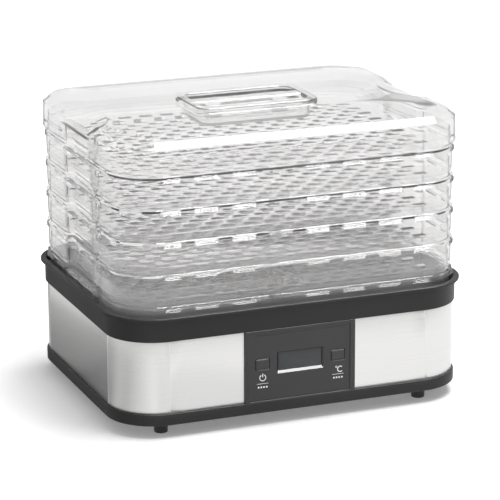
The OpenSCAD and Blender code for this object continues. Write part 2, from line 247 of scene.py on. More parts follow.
def outline(ref=3.9, depth=7.0, pads=True, ribs=True, recess=True, scoop=False):
    """Stations counterclockwise seen from above, from the left end of the front."""
    st = []
    edge = 1.0 if pads else 0.0
    front, side = {}, {}
    if pads:
        for x, p in pad_marks([s * PAD_PITCH * (k + 0.5) for k in range(4) for s in (-1, 1)]):
            if abs(x) <= CORE_X:
                front[round(x, 3)] = (p, 0.0)
        step = (2 * CORE_Y - 2 * PAD_LAST) / 5
        for y, p in pad_marks([PAD_LAST - CORE_Y + step * k for k in range(6)]):
            if abs(y) < CORE_Y:
                side[round(y, 3)] = p
    if ribs:
        for x, h in raised(*RIB, RIB_EDGE):
            front[round(x, 3)] = (0.0, h)
    front[-CORE_X] = front[CORE_X] = (edge, 0.0)
    side[-CORE_Y] = side[CORE_Y] = edge
    flank = recess_curve(depth) if recess else []
    special = {round(s * y, 3): (d, a * s) for y, d, a in flank for s in (-1, 1)}
    low = min([y for y, d, a in flank], default=0)
    high = max([y for y, d, a in flank], default=0)
    if scoop:
        for k in range(-19, 20):
            y = SCOOP_STEP * k
            if not low < abs(y) < high and not any(abs(y - q) < 0.8 for q in [*side, *special]):
                side[y] = 0.0
        side[-SCOOP_END] = side[SCOOP_END] = 0.0
    rows = sorted(side)

    def pad_at(y):
        for a, b in zip(rows, rows[1:]):
            if a <= y <= b:
                t = (y - a) / (b - a)
                return side[a] * (1 - t) + side[b] * t

    def add_side(sx, order):
        for y in order:
            grip = None
            if y in special:
                d, a = special[y]
                grip = ((sx * (HALF_X - ref - d), y), (sx * math.cos(a), math.sin(-a)), ref)
            elif abs(y) < low:
                grip = ((sx * (HALF_X - ref - depth), y), (sx, 0.0), ref)
            st.append(Station((sx * CORE_X, y), (sx, 0.0), pad_at(y), grip=grip, side=y))

    def add_corner(cx, cy, start):
        radius = CORNER - BAND_INSET
        length = radius * math.pi / 2
        marks = {length * i / CORNER_STEPS: None for i in range(1, CORNER_STEPS)}
        if pads:
            for m, p in pad_marks([length / 2]):
                marks = {k: v for k, v in marks.items() if abs(k - m) > 1.4 or v is not None}
                marks[m] = p
        for m, p in sorted(marks.items()):
            if p is None:
                on_pad = abs(m - length / 2) < PAD_HALF or m < PAD_HALF - 1 or m > length - 8.0
                p = 1.0 if pads and on_pad else 0.0
            a = math.radians(start) + m / radius
            st.append(Station((cx, cy), (math.cos(a), math.sin(a)), p))

    xs, ys = sorted(front), sorted({*side, *special})
    st += [Station((x, -CORE_Y), FRONT, *front[x]) for x in xs]
    add_corner(CORE_X, -CORE_Y, 270)
    add_side(1, ys)
    add_corner(CORE_X, CORE_Y, 0)
    st += [Station((x, CORE_Y), BACK, *front[x]) for x in reversed(xs)]
    add_corner(-CORE_X, CORE_Y, 90)
    add_side(-1, ys[::-1])
    add_corner(-CORE_X, -CORE_Y, 180)
    return st


def base_outline():
    return outline(pads=False, ribs=False, recess=False)


def sweep(b, stations, profile, closed=True):
    """Loops of a cross-section round the stations.

    A profile row is (kind, inset, z, pad height, rib height), the last two 0 unless given. Kind G follows the
    finger recess and P doesn't. Inset and z are numbers, or functions of the station.
    """
    loops = []
    for row in profile:
        kind, inset, z, pad, rib = (*row, 0.0, 0.0)[:5]
        pts = []
        for s in stations:
            d = (inset(s) if callable(inset) else inset) - pad * s.pad - rib * s.rib
            x, y = s.follow(d) if kind == "G" else s.plain(d)
            pts.append((x, y, z(s) if callable(z) else z))
        loops.append(b.loop(pts))
    b.loft(loops, closed)
    return loops


# ---------------------------------------------------------------- materials
def node_mat(name):
    m = bpy.data.materials.new(name)
    m.use_nodes = True
    t = m.node_tree
    return m, t, t.nodes["Principled BSDF"]


def set_inputs(node, values):
    for name, value in values.items():
        node.inputs[name].default_value = value


def coords(t, scale=(1, 1, 1)):
    c = t.nodes.new("ShaderNodeTexCoord")
    p = t.nodes.new("ShaderNodeMapping")
    p.inputs["Scale"].default_value = scale
    t.links.new(c.outputs["Object"], p.inputs["Vector"])
    return p.outputs["Vector"]


def noise(t, vector, scale, detail=2.0, rough=0.5):
    n = t.nodes.new("ShaderNodeTexNoise")
    n.inputs["Scale"].default_value = scale
    n.inputs["Detail"].default_value = detail
    n.inputs["Roughness"].default_value = rough
    t.links.new(vector, n.inputs["Vector"])
    return n.outputs["Fac"]


def ranged(t, value, low, high, start=0.0, end=1.0):
    r = t.nodes.new("ShaderNodeMapRange")
    r.inputs["From Min"].default_value, r.inputs["From Max"].default_value = start, end
    r.inputs["To Min"].default_value, r.inputs["To Max"].default_value = low, high
    t.links.new(value, r.inputs["Value"])
    return r.outputs["Result"]


def blend_colour(t, value, a, b):
    m = t.nodes.new("ShaderNodeMix")
    m.data_type = "RGBA"
    m.inputs[6].default_value = (*a, 1)
    m.inputs[7].default_value = (*b, 1)
    t.links.new(value, m.inputs[0])
    return m.outputs[2]


def bump(t, value, distance, strength=1.0, normal=None):
    b = t.nodes.new("ShaderNodeBump")
    b.inputs["Distance"].default_value = distance
    b.inputs["Strength"].default_value = strength
    t.links.new(value, b.inputs["Height"])
    if normal is not None:
        t.links.new(normal, b.inputs["Normal"])
    return b.outputs["Normal"]


def clear_plastic():
    m, t, s = node_mat("clear_plastic")
    set_inputs(s, {"Transmission Weight": 0.97, "IOR": 1.036, "Coat Weight": 0.6, "Coat IOR": 1.52,
                   "Coat Roughness": 0.03})
    v = coords(t)
    soft = noise(t, v, 30, 3)
    fine = noise(t, v, 900, 2)
    t.links.new(blend_colour(t, soft, (0.946, 0.942, 0.942), (0.968, 0.966, 0.965)), s.inputs["Base Color"])
    t.links.new(ranged(t, fine, 0.0, 0.004), s.inputs["Roughness"])
    t.links.new(bump(t, soft, 0.000004, 0.3), s.inputs["Normal"])
    return m


def grained(name, a, b, rough, grain, depth, spec=0.5, patch=9):
    """Moulded surface: colours a to b and roughness in broad patches, under a fine grain of this depth in metres."""
    m, t, s = node_mat(name)
    v = coords(t)
    broad = noise(t, v, patch, 3)
    fine = noise(t, v, grain, 2, 0.6)
    t.links.new(blend_colour(t, broad, a, b), s.inputs["Base Color"])
    t.links.new(ranged(t, broad, *rough), s.inputs["Roughness"])
    s.inputs["Specular IOR Level"].default_value = spec
    t.links.new(bump(t, fine, depth), s.inputs["Normal"])
    return m


def brushed(name, a, b, rough, stretch, depth):
    """Metal: colours a to b and roughness along stretched lines of this depth in metres."""
    m, t, s = node_mat(name)
    line = noise(t, coords(t, stretch), 1.0, 4, 0.65)
    broad = noise(t, coords(t), 6, 2)
    s.inputs["Metallic"].default_value = 1.0
    t.links.new(blend_colour(t, line, a, b), s.inputs["Base Color"])
    t.links.new(ranged(t, line, *rough, 0.3, 0.7), s.inputs["Roughness"])
    n = bump(t, line, depth)
    t.links.new(bump(t, broad, 0.0001, 0.4, n), s.inputs["Normal"])
    return m


GRAINED = {
    "black_housing": ((0.007, 0.007, 0.0075), (0.011, 0.011, 0.0115), (0.34, 0.5), 1500, 0.00004, 0.36),
    "panel_plastic": ((0.017, 0.017, 0.019), (0.025, 0.025, 0.027), (0.3, 0.42), 2200, 0.00002),
    "key_plastic": ((0.016, 0.016, 0.018), (0.024, 0.024, 0.026), (0.4, 0.55), 2600, 0.00003),
    "rubber_foot": ((0.012, 0.012, 0.012), (0.02, 0.02, 0.02), (0.65, 0.85), 1200, 0.00006),
    "circuit_board": ((0.01, 0.09, 0.03), (0.02, 0.14, 0.05), (0.3, 0.5), 700, 0.00003),
    "power_circuit": ((0.2, 0.11, 0.04), (0.28, 0.17, 0.07), (0.4, 0.6), 500, 0.00005),
    "fan_plastic": ((0.6, 0.6, 0.56), (0.7, 0.7, 0.66), (0.4, 0.55), 900, 0.00003),
    "mica": ((0.42, 0.38, 0.28), (0.58, 0.53, 0.42), (0.35, 0.6), 260, 0.0001, 0.5, 60),
    "switch_plastic": ((0.014, 0.014, 0.014), (0.022, 0.022, 0.022), (0.45, 0.6), 1600, 0.00004),
    "sensor_bead": ((0.28, 0.03, 0.02), (0.38, 0.06, 0.04), (0.2, 0.35), 400, 0.00003),
    "display_module": ((0.05, 0.08, 0.07), (0.07, 0.1, 0.09), (0.3, 0.45), 900, 0.00002),
    "display_glass": ((0.028, 0.03, 0.032), (0.036, 0.038, 0.04), (0.1, 0.18), 300, 0.000004),
    "print_grey": ((0.72, 0.72, 0.72), (0.8, 0.8, 0.8), (0.45, 0.6), 2500, 0.00001),
}
BRUSHED = {
    "steel_band": ((0.74, 0.735, 0.73), (0.82, 0.815, 0.81), (0.26, 0.34), (14, 14, 2600), 0.00003),
    "zinc_steel": ((0.5, 0.51, 0.52), (0.68, 0.69, 0.7), (0.3, 0.5), (60, 60, 60), 0.00002),
    "motor_steel": ((0.2, 0.2, 0.21), (0.3, 0.3, 0.31), (0.35, 0.5), (90, 90, 90), 0.00002),
    "heater_wire": ((0.2, 0.14, 0.11), (0.36, 0.27, 0.22), (0.4, 0.6), (400, 400, 400), 0.00003),
    "screw_steel": ((0.5, 0.5, 0.5), (0.64, 0.64, 0.64), (0.25, 0.4), (300, 300, 300), 0.00002),
}
MATERIALS = {"clear_plastic": clear_plastic()}
MATERIALS.update((name, grained(name, *look)) for name, look in GRAINED.items())
MATERIALS.update((name, brushed(name, *look)) for name, look in BRUSHED.items())


def finish_piece(obj, body, slot, *nodes, material=None):
    obj.data.materials.clear()
    obj.data.materials.append(MATERIALS[material or slot])
    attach(obj, body)
    if nodes:
        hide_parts(*nodes)


def add_piece(b, name, body, slot, *nodes, sharp=SHARP, material=None):
    obj = b.object(name, sharp)
    fix_normals(obj)
    finish_piece(obj, body, slot, *nodes, material=material)


# ---------------------------------------------------------------- trays
PITCH_Z = 29.4
BAND_TOP = {n: 121.3 + (5 - n) * PITCH_Z for n in range(1, 6)}
SLOT_X, SLOT_Y, SLOT_L, SLOT_W = 21.0, 12.6, 12.4, 7.6
FLOOR_X, FLOOR_Y, CUT_X, CUT_Y = 141, 104, 118, 96  # slots stay inside the first two, and out of the corners


def slot_loop(cx, cy, l, w, r, z):
    pts = []
    for k, (sx, sy) in enumerate(((1, 1), (-1, 1), (-1, -1), (1, -1))):
        for i in range(3):
            a = math.radians(90 * k + 45 * i)
            pts.append((cx + sx * (l / 2 - r) + r * math.cos(a), cy + sy * (w / 2 - r) + r * math.sin(a), z))
    return pts


def slot_centres():
    out = []
    for j in range(-8, 9):
        for i in range(-7, 8):
            x, y = (i + j % 2 / 2) * SLOT_X, j * SLOT_Y
            if abs(x) < FLOOR_X and abs(y) < FLOOR_Y and not (abs(x) > CUT_X and abs(y) > CUT_Y):
                out.append((x, y))
    return out


def tray_mesh():
    """One tray, with its band's top at height 0."""
    st = outline()
    b = Build()
    ridge = []
    for k in range(3):
        z = -5.1 + 1.5 * k
        ridge += [("P", 3.1, z, 1.15), ("P", 3.1, z + 1.25, 0.25)]
    wall = [
        ("G", 5.1, -24.4, 0, 0.4), ("G", 4.5, -24.4, 0, 0.4), ("G", 4.2, -24.1, 0, 0.5), ("G", 3.9, -6.3, 0, 0.5),
        ("P", 3.5, -6.05, 0, 0.5), ("P", 3.1, -5.6, 0.4, 0.4), *ridge, ("P", 3.1, -0.6, 0.2, 0.4), ("P", 3.7, 0.0),
        ("G", 5.7, 0.0), ("G", 5.7, 6.4, 0, 0.3), ("G", 6.2, 7.0, 0, 0.3), ("G", 6.6, 7.0, 0, 0.3), ("G", 6.65, 14.6),
        ("G", 7.15, 15.2), ("G", 7.6, 15.2), ("G", 7.9, 14.9), ("G", 7.9, -0.6), ("G", 8.3, -1.0),
    ]
    loops = sweep(b, st, wall)
    low = sweep(b, st, [
        ("G", 5.8, -3.5), ("G", 5.4, -3.9), ("G", 5.4, -20.0), ("G", 6.25, -20.3), ("G", 6.25, -21.9),
        ("G", 5.4, -22.2), ("G", 5.4, -24.1),
    ])
    b.bridge(low[-1], loops[0])
    top_holes, low_holes = [], []
    for x, y in slot_centres():
        rows = ((0.0, 1.3, -3.5), (0.0, 1.3, -1.35), (0.7, 1.6, -1.0))  # how much wider, corner radius and height
        hole = [b.loop(slot_loop(x, y, SLOT_L + wide, SLOT_W + wide, r, z)) for wide, r, z in rows]
        b.loft(hole)
        low_holes.append(hole[0])
        top_holes.append(hole[-1])
    b.sheet(loops[-1], top_holes)
    b.sheet(low[0], low_holes, flip=True)
    return b


def make_trays():
    """Five objects that share one mesh."""
    first = tray_mesh().object("tray_5_moulding")
    first.data.name = "tray_moulding"
    fix_normals(first)
    trays = {5: first}
    for n in (4, 3, 2, 1):
        trays[n] = bpy.data.objects.new("tray_%d_moulding" % n, first.data)
        scene.collection.objects.link(trays[n])
    for n, tray in trays.items():
        tray.location = (0, 0, BAND_TOP[n] * MM)
        finish_piece(tray, "tray_%d" % n, "clear_plastic", "tray_%d" % n, "tray_%d_mesh" % n)


make_trays()


# ---------------------------------------------------------------- lid
SCOOP_X = 202.0  # from the middle to the centre of the arcs that edge a scoop
DIP_DEPTH, DIP_HALF, DIP_RUN = 2.6, 46, 8


def beyond(plain, radius, extra=0.0):
    """Inset at a station: the plain one, or the scoop's arc where that reaches further in."""
    def at(s):
        if s.n[1] != 0 or abs(s.side) >= radius:
            return plain
        return max(plain, HALF_X - SCOOP_X + math.sqrt(radius * radius - s.side * s.side) + extra)
    return at


def dip(z):
    """Height of the scoop's outer edge, which falls a little between its ends."""
    def at(s):
        if s.n[1] != 0 or abs(s.side) > DIP_HALF:
            return z
        t = min(1.0, (DIP_HALF - abs(s.side)) / DIP_RUN)
        return z - DIP_DEPTH * t * t * (3 - 2 * t)
    return at


def handle_parts(b, top_loop, under_loop):
    """The grip's rim, well and underside, between the lid's top and under faces."""
    def ring(l, w, r, z):
        return b.loop(rect_points(l, w, r, z, marks=(13.5, -13.5)))

    rim = [ring(121.6, 77.6, 14.8, 269.5), ring(120.2, 76.2, 14.1, 270.1), ring(119.6, 75.6, 13.8, 273.7),
           ring(118.4, 74.4, 13.2, 274.5), ring(105.2, 61.2, 10.6, 274.5), ring(104.2, 60.2, 10.1, 273.9)]
    b.loft(rim)
    b.sheet(top_loop, [rim[0]])
    levels = (258.4, 260.0, 261.6, 263.4, 265.0, 266.8, 268.4)
    inner = [ring(104, 60, 10, z) for z in levels] + [rim[-1]]
    outer = [ring(108, 64, 12, z) for z in levels] + [ring(108, 64, 12, 272.5)]
    vents = (7, 23)  # where the two marks start, after one corner of 7 points and after three
    for i in range(len(levels)):
        skip = vents if i in (1, 3, 5) else ()
        b.bridge(inner[i + 1], inner[i], skip=skip)
        b.bridge(outer[i], outer[i + 1], skip=skip)
        lo_i, hi_i, lo_o, hi_o = inner[i], inner[i + 1], outer[i], outer[i + 1]
        for c in skip:
            d = c + 1
            b.faces += [(lo_i[c], lo_i[d], lo_o[d], lo_o[c]), (hi_i[d], hi_i[c], hi_o[c], hi_o[d]),
                        (lo_i[c], lo_o[c], hi_o[c], hi_i[c]), (lo_i[d], hi_i[d], hi_o[d], lo_o[d])]
    well = [inner[0], ring(102.4, 58.4, 9.2, 258.0)]
    b.loft(well)
    b.cap(well[1])
    low = ring(106.6, 62.6, 11.2, 256.0)
    b.bridge(low, outer[0])
    b.cap(low, flip=True)
    under = [outer[-1], ring(116, 72, 12, 272.5), ring(116, 72, 12, 267.5)]
    b.loft(under)
    b.sheet(under_loop, [under[-1]], flip=True)


def grip_bar():
    """Bar and its two posts, joined into the lid afterwards."""
    b = Build()
    section = [(6.0, 269.5), (7.0, 270.3), (7.0, 273.4), (6.0, 274.2),
               (-6.0, 274.2), (-7.0, 273.4), (-7.0, 270.3), (-6.0, 269.5)]
    b.solid([b.loop([(x, y, z) for y, z in section]) for x in (-53.0, 53.0)])
    bars = [b.object("grip_bar")]
    for s in (-1, 1):
        b = Build()
        rows = ((8.6, 257.0), (8.6, 258.2), (8.0, 259.4), (7.8, 270.5))
        b.solid([b.loop(ring_points(s * 33, 0, r, 32, z)) for r, z in rows])
        bars.append(b.object("grip_post"))
    return bars


def join_solids(obj, others):
    for o in [obj] + others:
        fix_normals(o)
    for o in others:
        m = obj.modifiers.new("join", "BOOLEAN")
        m.operation, m.solver, m.object = "UNION", "EXACT", o
    bpy.context.view_layer.update()
    dep = bpy.context.evaluated_depsgraph_get()
    mesh = bpy.data.meshes.new_from_object(obj.evaluated_get(dep))
    obj.modifiers.clear()
    obj.data = mesh
    smooth(mesh)
    for o in others:
        bpy.data.objects.remove(o)


def make_lid():
    st = outline(ref=1.4, depth=9.5, pads=False, scoop=True)
    b = Build()
    skin = [
        ("P", beyond(8.6, 62, 0.5), 269.5), ("P", beyond(7.9, 62, -0.1), 269.3), ("P", beyond(3.3, 54, 0.4), 264.8),
        ("P", beyond(3.0, 54, -0.1), 264.55), ("P", 2.55, dip(264.5)), ("P", 2.05, dip(264.0), 0, 0.5),
        ("P", 1.6, 256.7, 0, 0.5), ("G", 1.55, 256.3, 0, 0.5), ("G", 1.2, 242.0, 0, 0.5), ("G", 1.45, 241.55, 0, 0.5),
        ("G", 2.0, 241.4), ("G", 3.0, 241.4), ("G", 3.4, 241.8), ("G", 3.4, 246.0), ("G", 6.25, 246.4),
        ("G", 6.25, 248.0), ("G", 3.4, 248.4), ("G", 3.5, 258.0), ("P", 3.6, 258.6), ("P", 4.1, dip(262.5)),
        ("P", beyond(4.5, 56), 262.7), ("P", beyond(9.0, 64), 267.3), ("P", beyond(9.7, 64, 0.5), 267.5),
    ]
    loops = sweep(b, st, skin)
    b.faces = [tuple(reversed(f)) for f in b.faces]
    handle_parts(b, loops[0], loops[-1])
    lid = b.object("lid_moulding")
    join_solids(lid, grip_bar())
    finish_piece(lid, "lid", "clear_plastic", "lid")


make_lid()


# ---------------------------------------------------------------- base
POST_X, POST_Y = 108, 96
FOOT_X, FOOT_Y = 127, 110


def make_rim():
    st = base_outline()
    b = Build()
    loops = sweep(b, st, [
        ("P", 2.9, 90.0), ("P", 0.5, 90.0), ("P", 0.15, 90.4), ("P", 0.0, 91.0), ("P", 0.0, 108.2), ("P", -0.3, 109.1),
        ("P", -1.0, 109.5), ("P", -3.3, 109.6), ("P", -3.8, 109.9), ("P", -4.0, 110.4), ("P", -4.0, 111.6),
        ("P", -3.75, 112.25), ("P", -3.2, 112.6), ("P", 0.6, 112.6), ("P", 1.25, 112.3), ("P", 1.6, 111.6),
        ("P", 1.6, 98.2), ("P", 1.9, 97.2), ("P", 2.8, 96.6),
    ])
    bore_low, bore_top = (b.loop(ring_points(0, 0, 56, 96, z)) for z in (94.2, 96.6))
    b.bridge(bore_low, bore_top)
    b.sheet(loops[-1], [bore_top])
    low = sweep(b, st, [("P", 3.2, 94.2), ("P", 3.2, 90.3)])
    b.bridge(low[-1], loops[0])
    posts = []
    profile = ((1.8, 34.0), (1.8, 16.0), (4.1, 16.0), (4.5, 16.4), (4.5, 94.2))  # radius and height, screw hole first
    for sx, sy in QUARTERS:
        rows = [b.loop(ring_points(sx * POST_X, sy * POST_Y, r, 24, z)) for r, z in profile]
        b.loft(rows)
        b.cap(rows[0], flip=True)
        posts.append(rows[-1])
    b.sheet(low[0], [bore_low] + posts, flip=True)
    add_piece(b, "rim_moulding", "base", "black_housing", "upper_housing")


def make_steel():
    """Sheet round the base, open at the panel, with a fine crease where each bend starts."""
    front_x = (53.9, 54.6, 80.0, 110.0, CORE_X)
    crease = 0.45
    st = [Station((x, -CORE_Y), FRONT) for x in front_x]
    st += [s for s in base_outline() if s.n != FRONT]
    st += [Station((-x, -CORE_Y), FRONT) for x in reversed(front_x)]
    path = []
    for s in st:
        (x, y), (nx, ny) = s.core, s.n
        if 0.0 in s.n and abs(x) == CORE_X and abs(y) == CORE_Y:
            for t in (-1, 0, 1):
                along = crease * t
                path.append(Station((x - along * ny, y + along * nx), s.n, pad=0.0 if t else 1.0))
        else:
            path.append(s)
    b = Build()
    rows = [("P", 2.8, 22.9), ("P", 2.1, 22.9), ("P", 2.0, 23.1, 0.22), ("P", 2.0, 89.7, 0.22), ("P", 2.1, 89.9),
            ("P", 2.8, 89.9)]
    loops = sweep(b, path, rows, closed=False)
    b.bridge(loops[-1], loops[0], closed=False)
    b.cap([lp[0] for lp in loops])
    b.cap([lp[-1] for lp in loops], flip=True)
    add_piece(b, "steel_wrap_sheet", "base", "steel_band", "steel_wrap")


def make_flange():
    b = Build()
    loops = sweep(b, base_outline(), [
        ("P", 1.0, 12.0), ("P", 0.35, 12.2), ("P", 0.0, 12.8), ("P", 0.0, 21.9), ("P", 0.3, 22.5), ("P", 0.9, 22.8),
        ("P", 3.6, 22.8), ("P", 4.0, 22.4), ("P", 4.0, 15.3), ("P", 4.8, 14.5),
    ])
    slot = rect_points(90, 4, 1.9, 0, corner=4)
    openings = [[(x, y + 10.0 * k, z) for x, y, z in slot] for k in range(-5, 6)]
    openings += [ring_points(sx * POST_X, sy * POST_Y, 4.0, 24, 0) for sx, sy in QUARTERS]
    holes = [[b.loop([(x, y, z) for x, y, _ in points]) for z in (12.0, 14.5)] for points in openings]
    for hole in holes:
        b.loft(hole)
    b.sheet(loops[0], [lo for lo, hi in holes], flip=True)
    b.sheet(loops[-1], [hi for lo, hi in holes])
    add_piece(b, "bottom_flange", "base", "black_housing", "bottom_cover")


def make_feet():
    b = Build()
    rows = ((5.4, 0.0), (5.9, 0.15), (6.2, 0.6), (6.35, 7.4), (6.8, 7.9), (7.3, 8.2), (7.6, 8.8), (7.6, 12.0))
    for sx, sy in QUARTERS:
        b.solid([b.loop(ring_points(sx * FOOT_X, sy * FOOT_Y, r, 40, z)) for r, z in rows])
    add_piece(b, "rubber_foot_set", "base", "rubber_foot", "rubber_feet")


# ---------------------------------------------------------------- panel
FACE_Y = -131.0
PLATE_Y = FACE_Y + 0.7  # the sunk plate that holds the display and keys
BACK_Y = FACE_Y + 2.8
KEY_X, KEY_Z, KEY_HALF_X, KEY_HALF_Z, KEY_GAP = 36.8, 58.0, 12.9 / 2, 9.9 / 2, 0.35


def front_rect(b, x0, x1, z0, z1, r, y, steps=4):
    """Rounded rectangle facing the front, counterclockwise seen from the front."""
    pts = []
    for k, (cx, cz) in enumerate(((x1 - r, z1 - r), (x0 + r, z1 - r), (x0 + r, z0 + r), (x1 - r, z0 + r))):
        for i in range(steps + 1):
            a = math.radians(90 * k + 90 * i / steps)
            pts.append((cx + r * math.cos(a), y, cz + r * math.sin(a)))
    return b.loop(pts)


def mid_rect(b, x, z0, z1, r, y):
    return front_rect(b, -x, x, z0, z1, r, y)


def key_rect(b, s, grow, r, y):
    """Rectangle round the left (-1) or right (1) key, larger than it by grow on each side."""
    hx, hz = KEY_HALF_X + grow, KEY_HALF_Z + grow
    return front_rect(b, s * KEY_X - hx, s * KEY_X + hx, KEY_Z - hz, KEY_Z + hz, r, y)


def make_panel():
    b = Build()
    outer = [mid_rect(b, 53.6, 21.7, 90.0, 0.5, BACK_Y), mid_rect(b, 53.6, 21.7, 90.0, 0.5, FACE_Y + 0.12),
             mid_rect(b, 53.4, 21.85, 89.85, 0.6, FACE_Y)]
    b.loft(outer)
    dish = [mid_rect(b, 48.9, 23.34, 87.86, 0.85, FACE_Y), mid_rect(b, 48.76, 23.44, 87.76, 0.75, FACE_Y + 0.08),
            mid_rect(b, 48.7, 23.5, 87.7, 0.7, PLATE_Y)]
    b.loft(dish)
    b.sheet(outer[-1], [dish[0]], axes=(0, 2))
    # fine groove near the plate's top
    groove = [mid_rect(b, 48.0, 84.6, 85.4, 0.35, PLATE_Y), mid_rect(b, 47.9, 84.75, 85.25, 0.2, PLATE_Y + 0.3)]
    b.loft(groove)
    b.cap(groove[-1])
    # display pocket with a sloping sill below the window
    pocket = [mid_rect(b, 23.1, 46.9, 68.1, 1.2, PLATE_Y), mid_rect(b, 22.6, 47.5, 67.6, 1.0, PLATE_Y + 0.15),
              mid_rect(b, 21.3, 49.9, 67.2, 0.7, PLATE_Y + 1.75), mid_rect(b, 21.2, 49.9, 67.1, 0.6, PLATE_Y + 1.9)]
    b.loft(pocket)
    b.cap(pocket[-1])
    holes = []
    for s in (-1, 1):
        hole = [key_rect(b, s, KEY_GAP + 0.3, 1.3, PLATE_Y), key_rect(b, s, KEY_GAP, 1.0, PLATE_Y + 0.3),
                key_rect(b, s, KEY_GAP, 1.0, BACK_Y)]
        b.loft(hole)
        holes.append(hole)
    b.sheet(dish[-1], [groove[0], pocket[0]] + [h[0] for h in holes], axes=(0, 2))
    b.sheet(outer[0], [h[-1] for h in holes], flip=True, axes=(0, 2))
    add_piece(b, "panel_moulding", "base", "panel_plastic", "control_panel")


def make_window():
    b = Build()
    b.solid([mid_rect(b, 21, 50.1, 67.0, 0.6, -128.45), mid_rect(b, 21, 50.1, 67.0, 0.6, -129.05),
             mid_rect(b, 20.7, 50.4, 66.7, 0.5, -129.2)])
    # polished sloping sill, standing just proud of the pocket's own slope
    front, back = PLATE_Y + 0.02, PLATE_Y + 1.66
    sill = b.loop([(-22.3, front, 47.6), (22.3, front, 47.6), (21.1, back, 50.0),
                   (-21.1, back, 50.0), (-21.6, back, 47.6), (21.6, back, 47.6)])
    for f in ((0, 1, 2, 3), (0, 4, 5, 1), (4, 3, 2, 5), (0, 3, 4), (1, 5, 2)):
        b.faces.append(tuple(sill[i] for i in f))
    add_piece(b, "display_pane", "base", "display_glass", "display_window")


def make_keys():
    back = -127.6
    profile = ((0.0, back, 1.0), (0.0, -130.1, 1.0), (0.25, -130.5, 1.0), (0.8, -130.75, 0.9), (2.4, -130.85, 0.7),
               (3.6, -130.8, 0.5))  # inset, y and corner radius
    for s, node, body in ((-1, "time_button", "time_key"), (1, "temp_button", "temp_key")):
        stem_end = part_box(node)[1].y / MM
        b = Build()
        rows = [key_rect(b, s, -inset, r, y) for inset, y, r in profile]
        b.loft(rows)
        x = s * KEY_X
        stem = [front_rect(b, x - 3, x + 3, KEY_Z - 3, KEY_Z + 3, 0.5, y) for y in (stem_end, back)]
        b.loft(stem)
        b.sheet(rows[0], [stem[1]], flip=True, axes=(0, 2))
        b.cap(stem[0], flip=True)
        b.cap(rows[-1])
        add_piece(b, "%s_cap" % body, body, "key_plastic", node, sharp=40)


def stroke(b, pts, width):
    """Raised line of even width through points (x, z) on the panel."""
    left, right = [], []
    for i, (x, z) in enumerate(pts):
        p, q = pts[max(i - 1, 0)], pts[min(i + 1, len(pts) - 1)]
        dx, dz = q[0] - p[0], q[1] - p[1]
        k = math.hypot(dx, dz)
        left.append((x - dz / k * width / 2, z + dx / k * width / 2))
        right.append((x + dz / k * width / 2, z - dx / k * width / 2))
    front, back = PLATE_Y - 0.12, PLATE_Y + 0.05
    loops = [b.loop([(x, y, z) for x, z in line])
             for line, y in ((left, front), (right, front), (right, back), (left, back))]
    b.loft(loops + loops[:1], closed=False)
    b.cap([lp[0] for lp in loops])
    b.cap([lp[-1] for lp in loops], flip=True)


def arc(cx, cz, r, a0, a1, n=20):
    angles = [math.radians(a0 + (a1 - a0) * i / n) for i in range(n + 1)]
    return [(cx + r * math.cos(a), cz + r * math.sin(a)) for a in angles]


def make_marks():
    """Printed marks: power sign, degree sign, and dashes in place of words."""
    b = Build()
    line = 0.75
    stroke(b, arc(-36.6, 45.4, 2.9, 122, 418), line)
    stroke(b, [(-36.6, 45.8), (-36.6, 49.4)], line)
    stroke(b, arc(35.4, 46.7, 0.75, 0, 342, 12), 0.5)
    stroke(b, arc(39.2, 44.3, 2.6, 48, 312), line)
    for x in (-36.7, 36.9):
        stroke(b, [(x - 5.5, 39.8), (x + 5.5, 39.8)], 0.35)
        for k in range(4):
            dash = x - 3.9 + 2.6 * k
            stroke(b, [(dash - 0.7, 36.5), (dash + 0.7, 36.5)], 1.5)
    add_piece(b, "panel_marks", "base", "panel_plastic", material="print_grey")


make_rim()
make_steel()
make_flange()
make_feet()
make_panel()
make_window()
make_keys()
make_marks()


# ---------------------------------------------------------------- nodes kept from the CAD
EDGE = 0.15  # bevel in millimetres where BEVELS gives no other
BEVELS = {"outlet_grille": 0.0, "fan_impeller": 0.3, "fan_motor": 0.6, "cord_gland": 0.4, "air_duct": 0.2,
          "base_screws": 0.3}


def keep_nodes():
    slots = {row["node"]: row["material_slot"] for row in frame["record"]["subparts"]}
    for name, obj in NODES.items():
        if obj.hide_render:
            continue
        obj.data.materials.clear()
        obj.data.materials.append(MATERIALS[slots[name]])
        obj.modifiers.new("weld", "WELD").merge_threshold = 0.00002
        width = BEVELS.get(name, EDGE)
        if width:
            bevel = obj.modifiers.new("edge", "BEVEL")
            bevel.width, bevel.segments = width * MM, 2
            bevel.limit_method, bevel.angle_limit = "ANGLE", math.radians(40)


keep_nodes()


# ---------------------------------------------------------------- light, floor and world
THROUGH = 0.98  # level of the floor and world as seen through the clear plastic
FLOOR_HALF = 5.0
SOFTBOX_Z = 1.7


def feed(t, value, socket):
    """Sets a number on a socket, or links an output to it."""
    if isinstance(value, (int, float)):
        socket.default_value = value
    else:
        t.links.new(value, socket)


def maths(t, kind, a, b=None):
    n = t.nodes.new("ShaderNodeMath")
    n.operation = kind
    feed(t, a, n.inputs[0])
    if b is not None:
        feed(t, b, n.inputs[1])
    return n.outputs[0]


def mix_value(t, fac, a, b):
    n = t.nodes.new("ShaderNodeMix")
    for i, v in ((0, fac), (2, a), (3, b)):
        feed(t, v, n.inputs[i])
    return n.outputs[0]


def mix_shader(t, fac, a, b):
    n = t.nodes.new("ShaderNodeMixShader")
    for i, v in enumerate((fac, a, b)):
        t.links.new(v, n.inputs[i])
    return n.outputs[0]


def emission(t, strength):
    n = t.nodes.new("ShaderNodeEmission")
    feed(t, strength, n.inputs["Strength"])
    return n.outputs[0]


